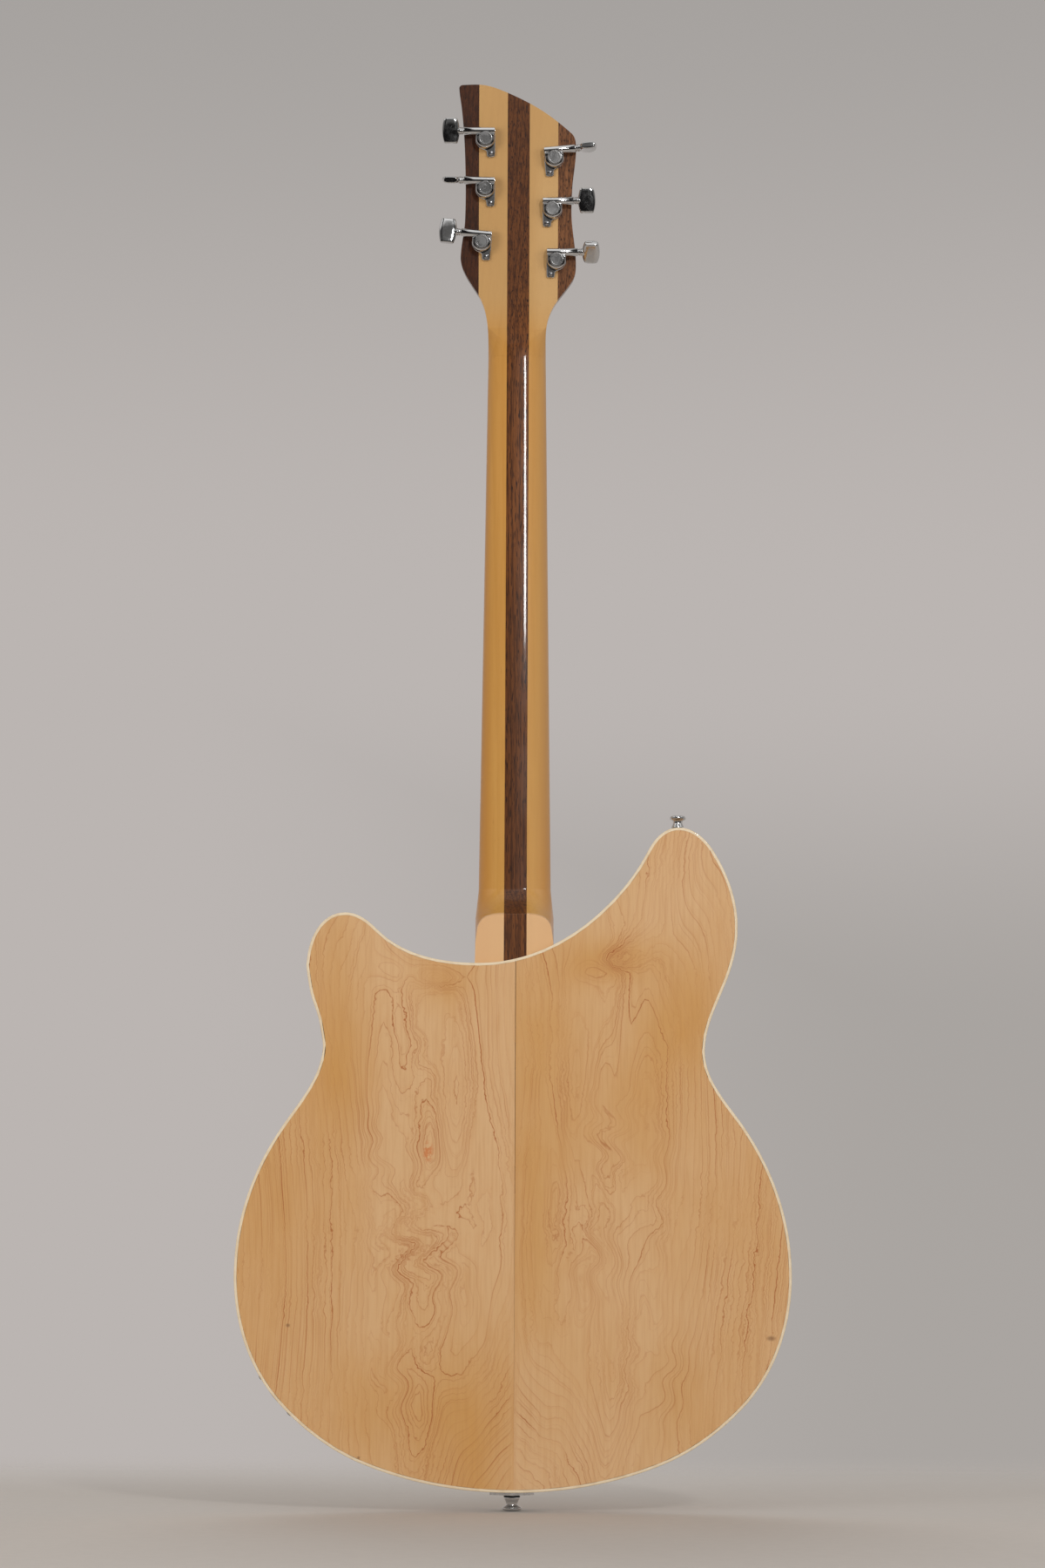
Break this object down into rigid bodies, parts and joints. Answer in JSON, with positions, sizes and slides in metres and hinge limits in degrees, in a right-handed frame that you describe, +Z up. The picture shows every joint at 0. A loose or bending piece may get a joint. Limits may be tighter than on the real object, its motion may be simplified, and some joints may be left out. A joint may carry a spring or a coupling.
{
  "type": "electric guitar",
  "caption": "Thinline hollow-body electric guitar with cutaway horns, laminated neck, geared tuners, bridge, trapeze tailpiece and turning control knobs.",
  "frame": {"origin": "on the centreline at the nut, in the glue plane between neck and fingerboard, where a hanger's yoke takes the neck under the head", "axes": "+Z up the neck to the head, -Y the front with the strings, +Y the back, +X the treble side"},
  "size_m": [0.381, 0.0742, 1.0049],
  "materials": {
    "maple_body": "clear satin lacquer over bookmatched maple",
    "maple_neck": "amber gloss lacquer",
    "walnut": "gloss lacquer over open-pored walnut",
    "rosewood": "oiled",
    "cream_plastic": "aged cream binding",
    "white_plastic": "white sheet plastic",
    "black_plastic": "moulded black",
    "bone": "polished nut blank",
    "chrome": "polished plating",
    "nickel": "worn nickel plating",
    "steel": "plain steel",
    "felt": "pressed felt"
  },
  "bodies": {
    "guitar": {"body_shell": "maple_body", "back_half_bass": "maple_body", "back_half_treble": "maple_body", "back_binding": "cream_plastic", "soundhole_binding": "cream_plastic", "neck_maple_bass": "maple_neck", "neck_walnut_center": "walnut", "neck_maple_treble": "maple_neck", "head_wing_bass": "walnut", "head_wing_treble": "walnut", "fingerboard": "rosewood", "fingerboard_binding": "cream_plastic", "nut": "bone", "truss_rod": "steel", "truss_rod_cover": "white_plastic", "tuner_housing_1": "chrome", "tuner_housing_2": "chrome", "tuner_housing_3": "chrome", "tuner_housing_4": "chrome", "tuner_housing_5": "chrome", "tuner_housing_6": "chrome", "pickguard": "white_plastic", "pickup_neck": "black_plastic", "pickup_bridge": "black_plastic", "bridge_base": "chrome", "bridge_saddle": "nickel", "bridge_post_bass": "steel", "bridge_post_treble": "steel", "tailpiece": "chrome", "end_strap_button": "chrome", "horn_strap_button": "chrome", "end_felt_washer": "felt", "horn_felt_washer": "felt", "jack_plate": "chrome", "output_jack": "nickel", "control_plate": "steel", "pickup_switch": "nickel", "string_1": "steel", "string_2": "steel", "string_3": "steel", "string_4": "nickel", "string_5": "nickel", "string_6": "nickel"},
    "tuner_knob_1": {"tuner_knob_1": "chrome"},
    "tuner_knob_2": {"tuner_knob_2": "chrome"},
    "tuner_knob_3": {"tuner_knob_3": "chrome"},
    "tuner_knob_4": {"tuner_knob_4": "chrome"},
    "tuner_knob_5": {"tuner_knob_5": "chrome"},
    "tuner_knob_6": {"tuner_knob_6": "chrome"},
    "tuner_post_1": {"tuner_post_1": "chrome"},
    "tuner_post_2": {"tuner_post_2": "chrome"},
    "tuner_post_3": {"tuner_post_3": "chrome"},
    "tuner_post_4": {"tuner_post_4": "chrome"},
    "tuner_post_5": {"tuner_post_5": "chrome"},
    "tuner_post_6": {"tuner_post_6": "chrome"},
    "control_knob_1": {"control_knob_1": "black_plastic"},
    "control_knob_2": {"control_knob_2": "black_plastic"},
    "control_knob_3": {"control_knob_3": "black_plastic"},
    "control_knob_4": {"control_knob_4": "black_plastic"},
    "switch_lever": {"switch_lever": "white_plastic"}
  },
  "joints": [
    {"name": "tuner_knob_1_turn", "type": "hinge", "parent": "guitar", "child": "tuner_knob_1", "pos_m": [0.0233, 0.04702, 0.15581], "axis": [1, 0, 0], "continuous": true},
    {"name": "tuner_knob_2_turn", "type": "hinge", "parent": "guitar", "child": "tuner_knob_2", "pos_m": [0.0232, 0.04089, 0.12104], "axis": [0.9998, 0.003, 0.0172], "continuous": true},
    {"name": "tuner_knob_3_turn", "type": "hinge", "parent": "guitar", "child": "tuner_knob_3", "pos_m": [0.02521, 0.03427, 0.08349], "axis": [0.9962, 0.0151, 0.0858], "continuous": true},
    {"name": "tuner_knob_4_turn", "type": "hinge", "parent": "guitar", "child": "tuner_knob_4", "pos_m": [-0.02551, 0.04471, 0.14268], "axis": [-0.9962, 0.0151, 0.0858], "continuous": true},
    {"name": "tuner_knob_5_turn", "type": "hinge", "parent": "guitar", "child": "tuner_knob_5", "pos_m": [-0.0248, 0.0384, 0.10695], "axis": [-0.9998, 0.003, 0.0172], "continuous": true},
    {"name": "tuner_knob_6_turn", "type": "hinge", "parent": "guitar", "child": "tuner_knob_6", "pos_m": [-0.0279, 0.03209, 0.07112], "axis": [-1, 0, 0], "continuous": true},
    {"name": "tuner_post_1_turn", "type": "hinge", "parent": "guitar", "child": "tuner_post_1", "pos_m": [0.0233, 0.02709, 0.15364], "axis": [0, 0.9848, -0.1736], "continuous": true},
    {"name": "tuner_post_2_turn", "type": "hinge", "parent": "guitar", "child": "tuner_post_2", "pos_m": [0.0233, 0.02096, 0.11887], "axis": [0, 0.9848, -0.1736], "continuous": true},
    {"name": "tuner_post_3_turn", "type": "hinge", "parent": "guitar", "child": "tuner_post_3", "pos_m": [0.0257, 0.01434, 0.08134], "axis": [0, 0.9848, -0.1736], "continuous": true},
    {"name": "tuner_post_4_turn", "type": "hinge", "parent": "guitar", "child": "tuner_post_4", "pos_m": [-0.026, 0.02478, 0.14053], "axis": [0, 0.9848, -0.1736], "continuous": true},
    {"name": "tuner_post_5_turn", "type": "hinge", "parent": "guitar", "child": "tuner_post_5", "pos_m": [-0.0249, 0.01847, 0.10477], "axis": [0, 0.9848, -0.1736], "continuous": true},
    {"name": "tuner_post_6_turn", "type": "hinge", "parent": "guitar", "child": "tuner_post_6", "pos_m": [-0.0279, 0.01216, 0.06895], "axis": [0, 0.9848, -0.1736], "continuous": true},
    {"name": "control_knob_1_turn", "type": "hinge", "parent": "guitar", "child": "control_knob_1", "pos_m": [0.078, 0, -0.668], "axis": [0, -1, 0], "range_deg": [-140, 140]},
    {"name": "control_knob_2_turn", "type": "hinge", "parent": "guitar", "child": "control_knob_2", "pos_m": [0.112, 0, -0.64], "axis": [0, -1, 0], "range_deg": [-140, 140]},
    {"name": "control_knob_3_turn", "type": "hinge", "parent": "guitar", "child": "control_knob_3", "pos_m": [0.088, 0, -0.716], "axis": [0, -1, 0], "range_deg": [-140, 140]},
    {"name": "control_knob_4_turn", "type": "hinge", "parent": "guitar", "child": "control_knob_4", "pos_m": [0.125, 0, -0.686], "axis": [0, -1, 0], "range_deg": [-140, 140]},
    {"name": "switch_lever_tilt", "type": "hinge", "parent": "guitar", "child": "switch_lever", "pos_m": [0.07, 0.004, -0.56], "axis": [1, 0, 0], "range_deg": [-11, 11]}
  ],
  "couplings": [
    {"joint": "tuner_post_1_turn", "follows": "tuner_knob_1_turn", "ratio": 0.066667},
    {"joint": "tuner_post_2_turn", "follows": "tuner_knob_2_turn", "ratio": 0.066667},
    {"joint": "tuner_post_3_turn", "follows": "tuner_knob_3_turn", "ratio": 0.066667},
    {"joint": "tuner_post_4_turn", "follows": "tuner_knob_4_turn", "ratio": -0.066667},
    {"joint": "tuner_post_5_turn", "follows": "tuner_knob_5_turn", "ratio": -0.066667},
    {"joint": "tuner_post_6_turn", "follows": "tuner_knob_6_turn", "ratio": -0.066667}
  ]
}
